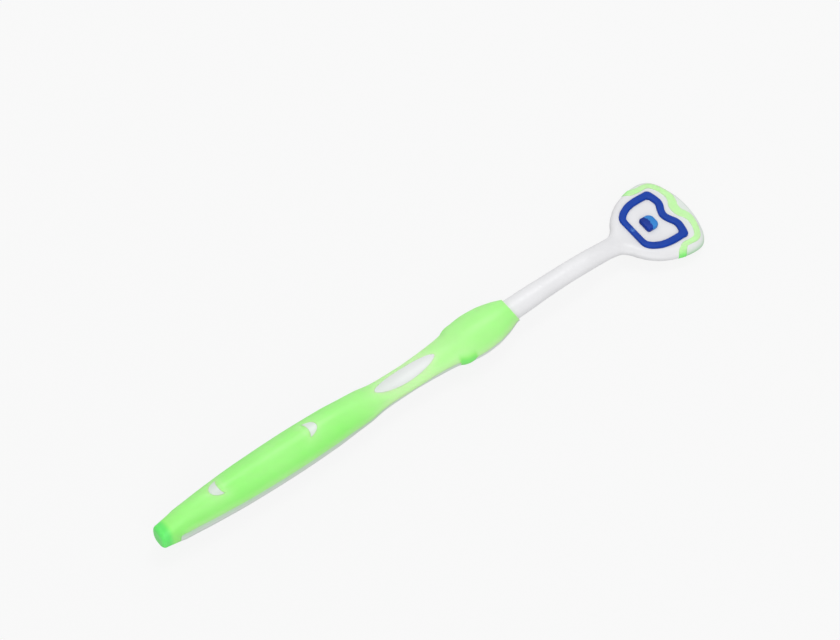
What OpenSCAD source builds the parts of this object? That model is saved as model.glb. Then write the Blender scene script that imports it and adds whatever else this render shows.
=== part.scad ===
// Tongue scraper: a moulded white handle and head with a soft green grip,
// a green band round the head's tip, a navy scraping ring and a small two-tone nub.
// Millimetres. +X runs along the handle to the head's tip, +Z is the scraping side.
// The scraper lies on the table: its belly and the underside of its tip touch it.

/* [Overall] */
// length from the flat end of the handle to the tip of the head
overall_l = 200.8; // [190:0.2:215]

/* [Grip] */
// length of the soft grip, measured along its sides
grip_l = 131.2; // [122:0.2:140]
// width of the handle at its flat end
end_w = 6.1; // [5.6:0.1:6.8]
// height of the handle at its flat end
end_h = 7.4; // [6.8:0.1:8]
// rounding of the rim round the flat end
end_round = 0.8; // [0.5:0.1:1.1]
// width of the belly, the widest part of the palm grip
belly_w = 13; // [11.8:0.1:14.4]
// height of the belly
belly_h = 14.8; // [13.6:0.1:16]
// width of the waist under the thumb
waist_w = 9.1; // [8.2:0.1:10]
// height from the axis to the dished top of the waist
waist_top_h = 2.9; // [2.6:0.1:3.8]
// depth from the axis to the underside of the waist
waist_under_h = 4.2; // [3.7:0.1:4.8]
// width of the bulge in front of the thumb
bulge_w = 14.7; // [13.2:0.1:16]
// height of the bulge
bulge_h = 11.4; // [10.4:0.1:12.4]
// width of the grip where it ends on the neck
cuff_w = 8.35; // [8.1:0.05:9.2]
// height of the grip where it ends on the neck
cuff_h = 8.45; // [8.1:0.05:9.2]
// how far the top of the grip's front edge stands back from its sides
cuff_lean = 1.7; // [0.5:0.1:3]
// thickness of the soft grip over the hard core
grip_t = 1.1; // [0.8:0.05:1.4]
// length of the thick green cap at the flat end
cap_l = 5.8; // [5:0.1:7]
// distance from the flat end to the strap that closes under the handle
strap_x = 107.8; // [105:0.2:111]
// width of that strap
strap_w = 4.6; // [3:0.1:6]
// how far the strap stands above the handle
strap_proud = 0.4; // [0.2:0.05:0.7]
// how far the seam of green and white rises above the handle's axis at most
seam_swing = 0.8; // [0:0.05:1]

/* [Windows] */
// length of the long thumb window
thumb_l = 22.4; // [18:0.2:24]
// width of the long thumb window
thumb_w = 5.4; // [4:0.1:6]
// distance from the flat end to the near end of the thumb window
thumb_x = 79.2; // [77:0.1:82]
// length of each crescent window
crescent_l = 3.9; // [3.2:0.1:5]
// width of each crescent window, horn to horn
crescent_w = 4.7; // [3.8:0.1:5.4]
// depth of the hollow between a crescent's horns
crescent_bite = 1.3; // [0.6:0.1:1.8]
// distance from the flat end to the back of the first crescent
crescent_x = 18.9; // [17:0.1:20]
// distance from the back of the first crescent to the horns of the second
crescent_gap = 34.7; // [33:0.1:37]

/* [Neck] */
// width of the neck where it leaves the grip
neck_root_w = 7.3; // [6.8:0.1:7.6]
// width of the neck at its middle
neck_w = 6.6; // [5.8:0.1:7]
// height of the neck at its middle
neck_h = 5.6; // [5:0.1:6]
// how far the neck arches above the handle's axis
neck_rise = 1.2; // [0:0.1:2]

/* [Head] */
// width of the head
head_w = 30.2; // [28:0.2:33]
// length from the centre of the head to the tip, along the head
head_reach = 15.1; // [14.5:0.1:16]
// thickness of the head plate
head_t = 4.4; // [3.9:0.1:4.8]
// rounding of the head's rim, seen in section across the head
rim_round = 2.2; // [1.8:0.1:2.8]
// angle by which the head dips below the handle's axis, in degrees
head_pitch = 6.0; // [5:0.1:8]

/* [Scraping ring and nub] */
// width of the ridge that scrapes
ridge_w = 2.4; // [2:0.1:2.6]
// height of the ridge above the face of the head
ridge_h = 0.7; // [0.4:0.05:1]
// margin of white between the ring's middle line and each side of the head
ring_side_gap = 4.6; // [4.2:0.1:5.2]
// margin of the ring's reach from each end of the head's length
ring_end_gap = 6.9; // [6.6:0.1:7.4]
// depth of the seats of the ring and the nub in the face
seat_d = 0.9; // [0.6:0.05:1.2]
// length of the nub
nub_l = 4.75; // [4.2:0.05:5.2]
// width of the nub
nub_w = 5.55; // [5:0.05:6]
// distance of the nub's middle from the head's middle, towards the handle
nub_back = 0.2; // [0:0.05:0.6]
// height of the nub above the face of the head
nub_h = 1.25; // [0.9:0.05:1.6]
// rounding of the nub's corners
nub_round = 0.9; // [0.6:0.05:1.2]

/* [Head band] */
// depth of the green band in the head
band_t = 0.7; // [0.5:0.05:0.9]
// how far the band stands above the hard surface
band_proud = 0.15; // [0.1:0.05:0.3]
// width of the band at the middle of the tip
band_w = 3; // [2.6:0.1:3.2]

/* [Hidden] */

// points round a section of the handle
round_n = 28;
// a length that only has to clear the part, for tools that cut right through
clear_l = overall_l;

// the handle's axis lies this high, so that the belly rests on the table
axis_z = belly_h / 2;
// the flat end, the centre of the head and the head's mid-plane height there
end_x = -overall_l / 2;
head_x = overall_l / 2 - head_reach * cos(head_pitch);
head_half = head_t / 2 / cos(head_pitch);
head_z = head_half + band_proud + head_reach * 0.87 * sin(head_pitch);
cut_x = end_x + grip_l;
// the ring keeps its margins inside the head
ring_l = 2 * (head_reach - ring_end_gap);
ring_w = head_w - 2 * ring_side_gap;

// Smooth curve through a table's rows, with no overshoot between them.
function row_at(t, x, i = 0) = (i >= len(t) - 2 || x < t[i + 1][0]) ? i : row_at(t, x, i + 1);
function rise(t, c, i) = (t[i + 1][c] - t[i][c]) / (t[i + 1][0] - t[i][0]);
function mean_rise(p, q) = p * q <= 0 ? 0 : 2 * p * q / (p + q);
function slope(t, c, i) =
    i <= 0 ? rise(t, c, 0) :
    i >= len(t) - 1 ? rise(t, c, len(t) - 2) :
    mean_rise(rise(t, c, i - 1), rise(t, c, i));
function blend(p, q, m, n, w, s) =
    p * (1 + 2 * s) * pow(1 - s, 2) + q * (3 - 2 * s) * pow(s, 2)
    + w * m * s * pow(1 - s, 2) - w * n * pow(s, 2) * (1 - s);
function curve(t, c, x) =
    let (i = row_at(t, x), w = t[i + 1][0] - t[i][0], s = (x - t[i][0]) / w)
    blend(t[i][c], t[i + 1][c], slope(t, c, i), slope(t, c, i + 1), w, s);

// Handle stations: share of the grip's length, half width, height above the axis,
// depth under it, squareness of the section. The shares shape the run between the
// named widths.
handle_rows = [
    [0, end_w / 2, end_h * 0.49, end_h * 0.51, 2.7],
    [0.018, end_w * 0.55, end_h * 0.59, end_h * 0.6, 2.6],
    [0.041, end_w * 0.604, end_h * 0.74, end_h * 0.745, 2.35],
    [0.061, belly_w * 0.324, belly_h * 0.419, belly_h * 0.419, 2.2],
    [0.084, belly_w * 0.343, belly_h * 0.449, belly_h * 0.449, 2.12],
    [0.117, belly_w * 0.381, belly_h * 0.473, belly_h * 0.473, 2.05],
    [0.16, belly_w * 0.423, belly_h * 0.49, belly_h * 0.49, 2],
    [0.237, belly_w * 0.474, belly_h * 0.498, belly_h * 0.499, 2],
    [0.356, belly_w / 2, belly_h / 2, belly_h / 2, 2],
    [0.465, belly_w * 0.476, belly_h * 0.486, belly_h * 0.487, 2],
    [0.528, belly_w * 0.438, belly_h * 0.419, belly_h * 0.432, 2],
    [0.569, belly_w * 0.418, belly_h * 0.351, belly_h * 0.372, 2],
    [0.589, belly_w * 0.39, belly_h * 0.311, belly_h * 0.345, 2],
    [0.606, belly_w * 0.367, belly_h * 0.272, belly_h * 0.318, 2],
    [0.638, waist_w * 0.505, waist_top_h * 1.18, waist_under_h * 1.03, 2],
    [0.693, waist_w / 2, waist_top_h, waist_under_h, 2],
    [0.737, waist_w * 0.524, waist_top_h * 1.05, waist_under_h * 1.03, 2],
    [0.772, waist_w * 0.555, waist_top_h * 1.18, waist_under_h * 1.09, 2],
    [0.811, waist_w * 0.61, waist_top_h * 1.4, waist_under_h * 1.17, 2],
    [0.834, bulge_w * 0.424, bulge_h * 0.41, bulge_h * 0.45, 2],
    [0.864, bulge_w * 0.484, bulge_h * 0.475, bulge_h * 0.49, 2],
    [0.889, bulge_w / 2, bulge_h / 2, bulge_h / 2, 2],
    [0.924, bulge_w * 0.481, bulge_h * 0.505, bulge_h * 0.465, 2],
    [0.963, bulge_w * 0.4, bulge_h * 0.48, bulge_h * 0.41, 2],
    [1, cuff_w / 2, cuff_h * 0.55, cuff_h * 0.41, 2],
    [1.02, cuff_w * 0.46, cuff_h * 0.53, cuff_h * 0.38, 2]
];
// places of the grip's sections, as shares of its length
handle_cut_shares = [
    0.018, 0.03, 0.041, 0.052, 0.061, 0.071, 0.084, 0.1, 0.117, 0.1395, 0.169, 0.203, 0.237, 0.282,
    0.326, 0.376, 0.4148, 0.4621, 0.499, 0.528, 0.549, 0.569, 0.58, 0.589, 0.598, 0.606, 0.621, 0.638,
    0.663, 0.693, 0.7169, 0.7557, 0.782, 0.811, 0.823, 0.834, 0.849, 0.8669, 0.889, 0.906, 0.924, 0.944,
    0.963, 0.9812, 0.9928, 1.0166
];
// places of the core's sections under the grip
core_cut_shares = [
    0.085, 0.1184, 0.1584, 0.1951, 0.237, 0.3036, 0.358, 0.453, 0.494, 0.545, 0.5783, 0.606, 0.638, 0.719,
    0.7407, 0.7971, 0.8374, 0.864, 0.896, 0.931, 0.9634
];
// height of the green and white seam along the grip, as shares of its swing
seam_rows = [
    [0, 0.85], [0.16, 0.95], [0.256, 0.85], [0.35, 0.72], [0.45, 0.52], [0.5, 0.42], [0.54, -0.1],
    [0.62, 0.2], [0.7, -0.4], [0.75, 0.3], [0.78, 0.4], [0.86, -0.38], [0.92, 0.15], [0.96, 0.1], [1.1, -0.5]
];

// Neck and head stations: x, half width, half height above and below the middle, and
// reach of the rounded sides. A section is an ellipse where the reach equals the half
// width, and a flat plate with rounded sides where it is smaller.
function head_at(u) = head_x + u * head_reach * cos(head_pitch);
function head_row(u, v, side) = [head_at(u), head_w / 2 * v, head_half, head_half, side];
neck_span = head_at(-1) - cut_x;
function neck_row(s, w, h) =
    [cut_x + neck_span * s, neck_w / 2 * w, neck_h / 2 * h, neck_h / 2 * h, neck_w / 2 * w];
function shell_row(r) =
    [end_x + grip_l * r[0], r[1] - grip_t, r[2] - grip_t, r[3] - grip_t, r[1] - grip_t];
hard_rows = concat(
    [for (r = handle_rows) if (r[0] < 0.93) shell_row(r)],
    [
        [cut_x, neck_root_w / 2, neck_h / 2 * 1.16, neck_h / 2 * 1.16, neck_root_w / 2],
        neck_row(0.15, 1.09, 1.09), neck_row(0.32, 1.03, 1.04), neck_row(0.52, 1, 1),
        neck_row(0.75, 1, 0.93), neck_row(0.9, 0.995, 0.84), neck_row(0.98, 1.03, 0.78),
        [head_at(-0.93), neck_w / 2 * 1.1, neck_h / 2 * 0.73, neck_h / 2 * 0.73, neck_w / 2],
        [head_at(-0.86), neck_w / 2 * 1.25, neck_h / 2 * 0.685, neck_h / 2 * 0.685, neck_w / 2 * 1.12],
        [head_at(-0.8), head_w / 2 * 0.316, head_half * 1.02, head_half * 1.02, neck_w / 2 * 1.16],
        head_row(-0.73, 0.39, neck_w / 2 * 1.12), head_row(-0.665, 0.487, rim_round * 1.35),
        head_row(-0.6, 0.565, rim_round * 1.15), head_row(-0.53, 0.64, rim_round * 1.05),
        head_row(-0.33, 0.797, rim_round), head_row(-0.165, 0.88, rim_round),
        head_row(0, 0.932, rim_round), head_row(0.165, 0.975, rim_round),
        head_row(0.33, 1, rim_round), head_row(0.46, 1.004, rim_round),
        head_row(0.6, 0.985, rim_round), head_row(0.69, 0.947, rim_round),
        head_row(0.77, 0.877, rim_round), head_row(0.825, 0.803, rim_round * 1.05)
    ]
);
// places of the sections along the neck, as shares of its run
neck_cut_shares = [0.016, 0.075, 0.15, 0.235, 0.32, 0.42, 0.52, 0.63, 0.75, 0.83, 0.9, 0.95];
// places of the sections along the head, as shares of its reach
head_cut_shares = [
    -0.965, -0.93, -0.895, -0.86, -0.83, -0.8, -0.765, -0.73, -0.6975, -0.665, -0.6,
    -0.537, -0.43, -0.33, -0.165, 0.012, 0.156, 0.33, 0.46, 0.61, 0.7, 0.77, 0.822
];
// the blunt tip: share of the reach, share of the half width, share of the half thickness
tip_shares = [
    [0.86, 0.742, 1], [0.895, 0.662, 0.995], [0.93, 0.565, 0.975], [0.96, 0.465, 0.92],
    [0.98, 0.372, 0.82], [0.993, 0.265, 0.64], [1, 0.15, 0.42]
];
// lift of the neck above the axis, and how far it has come down to the head's own plane
lift_rows = [
    [-4, 0], [-0.3, 0], [0, 0.5], [0.15, 0.72], [0.3, 0.93], [0.5, 0.95], [0.7, 0.6], [0.85, 0.28],
    [1, 0.1], [1.2, 0], [2, 0]
];
drop_rows = [
    [-4, 0], [0.7, 0], [0.85, 0.12], [0.95, 0.34], [1.02, 0.58], [1.09, 0.82],
    [1.15, 0.93], [1.21, 1], [3, 1]
];

function plane_z(x) = head_z + (head_x - x) * tan(head_pitch);
function neck_share(x) = (x - cut_x) / neck_span;
function axis_lift(x) = axis_z + neck_rise * curve(lift_rows, 1, neck_share(x));
function drop_at(x) = curve(drop_rows, 1, neck_share(x));
function centre_z(x) = plane_z(x) * drop_at(x) + axis_lift(x) * (1 - drop_at(x));

// Closed skin over rings of points, each ring with the same number of points.
function side_faces(m, n) = [
    for (i = [0 : m - 2], j = [0 : n - 1]) each
    let (a = i * n + j, b = i * n + (j + 1) % n, c = b + n, d = a + n) [[a, b, c], [a, c, d]]
];
function end_faces(m, n) = [
    [for (j = [n - 1 : -1 : 0]) j],
    [for (j = [0 : n - 1]) (m - 1) * n + j]
];
module skin(rings) {
    m = len(rings);
    n = len(rings[0]);
    polyhedron(points = [for (r = rings) each r], faces = concat(side_faces(m, n), end_faces(m, n)));
}

// Section of the handle: two half superellipses that meet at the axis.
function power(v, n) = sign(v) * pow(abs(v), 2 / n);
// the strap swells out of the sides and the underside
strap_step_shares = [0.07, 0.22, 0.4, 0.6, 0.78, 0.93];
function strap_swell(s) =
    let (t = (s * grip_l - strap_x) / strap_w)
    t > 0 && t < 1 ? strap_proud * sin(180 * t) : 0;
function handle_ring(s, out) =
    let (swell = strap_swell(s), n = curve(handle_rows, 4, s))
    let (a = curve(handle_rows, 1, s) + out + swell, up = curve(handle_rows, 2, s) + out)
    let (down = curve(handle_rows, 3, s) + out + swell)
    [for (k = [0 : round_n - 1]) let (q = -360 * (k + 0.5) / round_n)
        [end_x + s * grip_l, a * power(cos(q), n), axis_z + (sin(q) > 0 ? up : down) * power(sin(q), n)]];
// The flat end's rim is a quarter round, the rest follows the table.
module handle_skin() {
    strap_from = strap_x / grip_l;
    strap_to = (strap_x + strap_w) / grip_l;
    gap = strap_w / grip_l / 8;
    rim = [for (q = [0 : 30 : 90]) handle_ring(end_round * (1 - cos(q)) / grip_l, -end_round * (1 - sin(q)))];
    before = [for (s = handle_cut_shares) if (s < strap_from - gap) handle_ring(s, 0)];
    strap = [for (t = strap_step_shares) handle_ring((strap_x + strap_w * t) / grip_l, 0)];
    after = [for (s = handle_cut_shares) if (s > strap_to + gap) handle_ring(s, 0)];
    skin(concat(rim, before, strap, after));
}

// Section of the hard core, neck and head plate, with a flat above and below.
quarter_steps = [for (q = [-90 : 18 : 90]) q];
function hard_ring(x, a, up, down, side) =
    let (flat = max(a * 0.05, a - side), turn = a - flat)
    concat(
        [for (i = [len(quarter_steps) - 1 : -1 : 0]) let (q = quarter_steps[i])
            [x, flat + turn * cos(q), centre_z(x) + (q > 0 ? up : down) * sin(q)]],
        [for (q = quarter_steps)
            [x, -flat - turn * cos(q), centre_z(x) + (q > 0 ? up : down) * sin(q)]]
    );
function hard_station(x, out) = hard_ring(x, curve(hard_rows, 1, x) + out,
    curve(hard_rows, 2, x) + out, curve(hard_rows, 3, x) + out, curve(hard_rows, 4, x) + out);
function tip_station(t, out) =
    let (a = head_w / 2 * t[1], h = (head_half + out) * t[2])
    let (side = rim_round + (a - rim_round) * (t[0] - tip_shares[0][0]) / (1 - tip_shares[0][0]))
    hard_ring(head_at(t[0]) + out * t[0], a + out, h, h, side + out);
handle_stations = [for (s = core_cut_shares) end_x + grip_l * s];
neck_stations = [for (s = neck_cut_shares) cut_x + neck_span * s];
head_stations = [for (u = head_cut_shares) head_at(u)];
// the core from its blunt start under the cap to the tip
module hard_skin() {
    start = hard_station(end_x + cap_l + grip_t / 2, -grip_t / 2);
    stations = concat(handle_stations, neck_stations, head_stations);
    skin(concat(
        [start],
        [for (x = stations) hard_station(x, 0)],
        [for (t = tip_shares) tip_station(t, 0)]
    ));
}
// only the length of the core that the grip holds
module held_skin() {
    start = hard_station(end_x + cap_l + grip_t / 2, -grip_t / 2);
    stations = concat(handle_stations, [neck_stations[0], neck_stations[1]]);
    skin(concat([start], [for (x = stations) hard_station(x, 0)]));
}
// the head alone, its surface moved out, or in where out is negative
module head_skin(out) {
    skin(concat(
        [for (u = head_cut_shares) if (u > -0.34) hard_station(head_at(u), out)],
        [for (t = tip_shares) tip_station(t, out)]
    ));
}

// Side view of the green zone: cap, seam, strap under the handle and leaning front edge.
function seam_z(s) = axis_z + seam_swing * curve(seam_rows, 1, s);
function seam_run(p, q, steps) = [for (i = [0 : steps]) let (s = (p + (q - p) * i / steps) / grip_l)
    [end_x + s * grip_l, seam_z(s)]];
function front_x(z) = cut_x - cuff_lean * (z - seam_z(1)) / (cuff_h / 2);
module side_view(outline) {
    rotate([90, 0, 0])
        linear_extrude(clear_l, center = true)
            polygon(outline);
}
module green_zone() {
    side_view(concat(
        [[end_x - clear_l, -clear_l], [end_x + cap_l, -clear_l]],
        seam_run(cap_l, strap_x, 20),
        [[end_x + strap_x, -clear_l], [end_x + strap_x + strap_w, -clear_l]],
        seam_run(strap_x + strap_w, grip_l, 5),
        [[front_x(clear_l), clear_l], [end_x - clear_l, clear_l]]
    ));
}
// the white underside, behind the strap and in front of it
module white_zone() {
    side_view(concat([[end_x + cap_l, -clear_l]], seam_run(cap_l, strap_x, 20), [[end_x + strap_x, -clear_l]]));
    side_view(concat(
        [[end_x + strap_x + strap_w, -clear_l]],
        seam_run(strap_x + strap_w, grip_l, 5),
        [[front_x(-clear_l), -clear_l]]
    ));
}

// Plan outlines of the windows, pointing along +X.
function oval_half(s) = pow(s, 0.55) * pow(1 - s, 0.75) * 1.98;
thumb_steps = [for (i = [1 : 14]) (1 - cos(180 * i / 15)) / 2];
module thumb_outline() {
    polygon(concat(
        [[0, 0]],
        [for (s = thumb_steps) [thumb_l * s, -thumb_w / 2 * oval_half(s)]],
        [[thumb_l, 0]],
        [for (i = [len(thumb_steps) - 1 : -1 : 0]) let (s = thumb_steps[i])
            [thumb_l * s, thumb_w / 2 * oval_half(s)]]
    ));
}
module crescent_outline() {
    polygon(concat(
        [for (q = [-90 : 18 : 90]) [-crescent_l * cos(q), crescent_w / 2 * sin(q)]],
        [for (q = [66 : -22 : -66]) [-crescent_bite * cos(q), crescent_w / 2 * sin(q)]]
    ));
}
module windows() {
    translate([0, 0, axis_z])
        linear_extrude(clear_l) {
            translate([end_x + thumb_x, 0])
                thumb_outline();
            translate([end_x + crescent_x + crescent_l, 0])
                crescent_outline();
            translate([end_x + crescent_x + crescent_gap, 0])
                mirror([1, 0])
                    crescent_outline();
        }
}

// The soft grip: a shell over the core, with a thick cap, a strap and three windows.
module grip_solid() {
    difference() {
        intersection() {
            handle_skin();
            green_zone();
        }
        held_skin();
        windows();
    }
}

// Head features are set out on the head's own plane: u along it, v across it.
module on_head(w = 0) {
    translate([head_x, 0, head_z])
        rotate([0, head_pitch, 0])
            translate([0, 0, w])
                children();
}
// Half of the ring's middle line: share of its length and width, share of the ridge's width.
ring_shares = [
    [-0.388, 0, 0.86], [-0.388, 0.2, 0.86], [-0.387, 0.38, 0.87], [-0.379, 0.505, 0.92],
    [-0.343, 0.605, 0.98], [-0.274, 0.7, 0.99], [-0.192, 0.771, 0.99], [-0.104, 0.827, 1],
    [0.006, 0.862, 1.01], [0.122, 0.876, 1.04], [0.244, 0.876, 1.04], [0.335, 0.868, 1.06],
    [0.388, 0.838, 1.2], [0.425, 0.77, 1.12], [0.447, 0.665, 1.04], [0.463, 0.51, 1.03],
    [0.454, 0.4, 1.03], [0.427, 0.305, 1.03], [0.393, 0.21, 1], [0.366, 0.105, 1], [0.354, 0.03, 1]
];
function ring_point(r, side) = [ring_l * r[0], side * ring_w / 2 * r[1], ridge_w / 2 * r[2]];
ring_path = concat(
    [for (r = ring_shares) ring_point(r, 1)],
    [for (i = [len(ring_shares) - 1 : -1 : 1]) ring_point(ring_shares[i], -1)]
);
function unit(p) = p / norm(p);
function path_side(i) =
    let (n = len(ring_path), p = ring_path[(i + n - 1) % n], q = ring_path[(i + 1) % n])
    unit([p[1] - q[1], q[0] - p[0]]);
// The ridge's section: share of its half width and height, the lowest pair in the seat.
module ridge(section) {
    n = len(ring_path);
    m = len(section);
    rings = [for (i = [0 : n - 1]) let (p = ring_path[i], o = path_side(i))
        [for (c = section) [p[0] + o[0] * p[2] * c[0], p[1] + o[1] * p[2] * c[0], c[1]]]];
    faces = [for (i = [0 : n - 1], j = [0 : m - 1]) each
        let (a = i * m + j, b = i * m + (j + 1) % m)
        let (c = ((i + 1) % n) * m + (j + 1) % m, d = ((i + 1) % n) * m + j)
        [[a, b, c], [a, c, d]]];
    polyhedron(points = [for (r = rings) each r], faces = faces);
}
seat_section = [[-1, -seat_d], [-1, head_t], [1, head_t], [1, -seat_d]];
dome_section = [
    [-1, -seat_d], [-1, ridge_h * 0.45], [-0.93, ridge_h * 0.72], [-0.74, ridge_h * 0.92], [-0.4, ridge_h],
    [0.4, ridge_h], [0.74, ridge_h * 0.92], [0.93, ridge_h * 0.72], [1, ridge_h * 0.45], [1, -seat_d]
];

// A peg with a rounded top edge, the corner of the nub.
module peg(radius, top) {
    edge = nub_round / 2;
    rotate_extrude($fn = 32)
        polygon([
            [0, -seat_d], [radius, -seat_d], [radius, top - edge], [radius - edge * 0.3, top - edge * 0.3],
            [radius - edge, top], [0, top]
        ]);
}
// The nub has tight corners towards the handle and wide ones towards the tip.
module nub_solid() {
    wide = nub_w * 0.28;
    hull()
        for (s = [-1, 1]) {
            translate([nub_round - nub_l / 2, s * (nub_w / 2 - nub_round)])
                peg(nub_round, nub_h);
            translate([nub_l / 2 - wide, s * (nub_w / 2 - wide)])
                peg(wide, nub_h);
        }
}
module half_space(side) {
    translate([side > 0 ? 0 : -clear_l, -clear_l / 2, -clear_l / 2])
        cube([clear_l, clear_l, clear_l]);
}

// Half of the band's middle line: share of the head's reach and half width, share of the band's width.
band_shares = [
    [0.702, 0, 1.025], [0.719, 0.11, 1], [0.777, 0.211, 0.939], [0.805, 0.348, 0.802], [0.787, 0.47, 0.678],
    [0.74, 0.62, 0.62], [0.66, 0.755, 0.6], [0.57, 0.81, 0.54], [0.42, 0.815, 0.5],
    [0.287, 0.81, 0.54], [0.19, 0.86, 0.78], [0.091, 0.94, 1.05], [0.03, 1.06, 1.15]
];
module band_disc(b, side) {
    translate([head_reach * b[0], side * head_w / 2 * b[1]])
        circle(d = band_w * b[2], $fn = 20);
}
module band_zone() {
    on_head()
        linear_extrude(clear_l, center = true)
            for (side = [-1, 1], i = [0 : len(band_shares) - 2])
                hull() {
                    band_disc(band_shares[i], side);
                    band_disc(band_shares[i + 1], side);
                }
}
module on_nub() {
    on_head(head_t / 2)
        translate([-nub_back, 0, 0])
            children();
}

// One hard moulding: core of the handle with its white underside, neck and head.
module core() {
    color("#eef1f0")
        difference() {
            union() {
                hard_skin();
                intersection() {
                    handle_skin();
                    white_zone();
                }
                intersection() {
                    handle_skin();
                    windows();
                }
            }
            difference() {
                band_zone();
                head_skin(-band_t);
            }
            on_head(head_t / 2)
                ridge(seat_section);
            on_nub()
                nub_solid();
        }
}

module handle_grip() {
    color("#a3f884")
        grip_solid();
}

module head_band() {
    color("#bbf8a6")
        difference() {
            intersection() {
                band_zone();
                head_skin(band_proud);
            }
            head_skin(-band_t);
        }
}

module scraper_ring() {
    color("#2950a5")
        on_head(head_t / 2)
            ridge(dome_section);
}

module nub_rear() {
    color("#32509f")
        on_nub()
            intersection() {
                nub_solid();
                half_space(-1);
            }
}

module nub_front() {
    color("#4b92d5")
        on_nub()
            intersection() {
                nub_solid();
                half_space(1);
            }
}

core();
handle_grip();
head_band();
scraper_ring();
nub_rear();
nub_front();
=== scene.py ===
import bpy
import numpy as np
from mathutils import Matrix


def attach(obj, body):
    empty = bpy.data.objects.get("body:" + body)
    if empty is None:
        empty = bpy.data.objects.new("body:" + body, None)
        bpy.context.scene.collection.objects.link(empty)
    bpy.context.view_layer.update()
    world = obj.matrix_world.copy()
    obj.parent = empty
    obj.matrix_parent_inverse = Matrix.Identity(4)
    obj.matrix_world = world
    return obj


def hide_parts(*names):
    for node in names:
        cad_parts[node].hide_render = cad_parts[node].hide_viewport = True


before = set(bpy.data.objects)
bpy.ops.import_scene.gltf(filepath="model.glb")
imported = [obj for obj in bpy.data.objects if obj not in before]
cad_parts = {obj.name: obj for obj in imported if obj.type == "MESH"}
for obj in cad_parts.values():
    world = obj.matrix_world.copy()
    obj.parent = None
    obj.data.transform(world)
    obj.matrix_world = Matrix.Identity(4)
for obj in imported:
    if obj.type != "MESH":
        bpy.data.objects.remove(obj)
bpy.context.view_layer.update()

# Lengths below are millimetres, as in the part's source; a mesh gets them as metres.
mm = 0.001


def curveAt(rows, column, x):
    # Hermite curve through a table: slopes are the harmonic mean of the two runs beside a row,
    # so the curve never swings past a row.
    t, v = rows[:, 0], rows[:, column]
    w = np.diff(t)
    r = np.diff(v) / w
    p, q = r[:-1], r[1:]
    inner = np.where(p * q > 0, 2 * p * q / np.where(p * q > 0, p + q, 1), 0)
    m = np.concatenate([r[:1], inner, r[-1:]])
    i = np.clip(np.searchsorted(t, x, side="right") - 1, 0, len(t) - 2)
    s = (x - t[i]) / w[i]
    ends = v[i] * (1 + 2 * s) * (1 - s) ** 2 + v[i + 1] * (3 - 2 * s) * s ** 2
    return ends + w[i] * (m[i] * s * (1 - s) ** 2 - m[i + 1] * s ** 2 * (1 - s))


def smoothStep(low, high, x):
    # 3s^2 - 2s^3, with s the share of the way from low to high
    s = np.clip((x - low) / (high - low), 0, 1)
    return s * s * (3 - 2 * s)


def linear(r, g, b):
    # sRGB bytes to linear light: c / 12.92 when dark, else ((c + 0.055) / 1.055)^2.4
    c = np.array([r, g, b]) / 255
    c = np.where(c <= 0.04045, c / 12.92, ((c + 0.055) / 1.055) ** 2.4)
    return tuple(float(v) for v in c)


def outward(points, tris):
    # volume = sum of a . (b x c) over the triangles; a negative one is turned round
    a, b, c = (points[tris[:, k]] for k in range(3))
    return tris[:, ::-1] if np.einsum("ij,ij->", a, np.cross(b, c)) < 0 else tris


def gridNormals(points, closed):
    # normal = difference along the columns x difference along the rows
    if closed:
        across = np.roll(points, -1, 1) - np.roll(points, 1, 1)
    else:
        across = np.gradient(points, axis=1)
    along = np.gradient(points, axis=0)
    n = np.cross(across, along)
    n /= np.maximum(np.linalg.norm(n, axis=2, keepdims=True), 1e-12)
    centre = points.mean(axis=1, keepdims=True)
    return n * (1 if np.sum(n * (points - centre)) > 0 else -1)


def closedLoft(rings):
    # a tube of rings with a fan to a middle point at each end
    rows, cols, _ = rings.shape
    k = np.arange(rows * cols).reshape(rows, cols)
    a, b = k[:-1], np.roll(k, -1, 1)[:-1]
    c, d = np.roll(k, -1, 1)[1:], k[1:]
    side = np.concatenate([np.stack([a, b, c], -1).reshape(-1, 3), np.stack([a, c, d], -1).reshape(-1, 3)])
    points = np.concatenate([rings.reshape(-1, 3), rings[:1].mean(1), rings[-1:].mean(1)])
    first, last = rows * cols, rows * cols + 1
    startFan = np.stack([np.full(cols, first), np.roll(k[0], -1), k[0]], -1)
    endFan = np.stack([np.full(cols, last), k[-1], np.roll(k[-1], -1)], -1)
    tris = np.concatenate([side, startFan, endFan])
    return points, outward(points, tris)


cutting = {
    "probe": 0.02,  # step to either side when the slope of the distance is taken
    "pull": 0.52,  # a vertex nearer to the cut than this share of the grid's spacing slides onto it
    "leastSlope": 0.3,
    "sliver": 0.006,  # a triangle on the cut has to reach this far inside it to be kept
    "roundTurns": (30, 60, 90),  # degrees of the rounded edge
}


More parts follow.
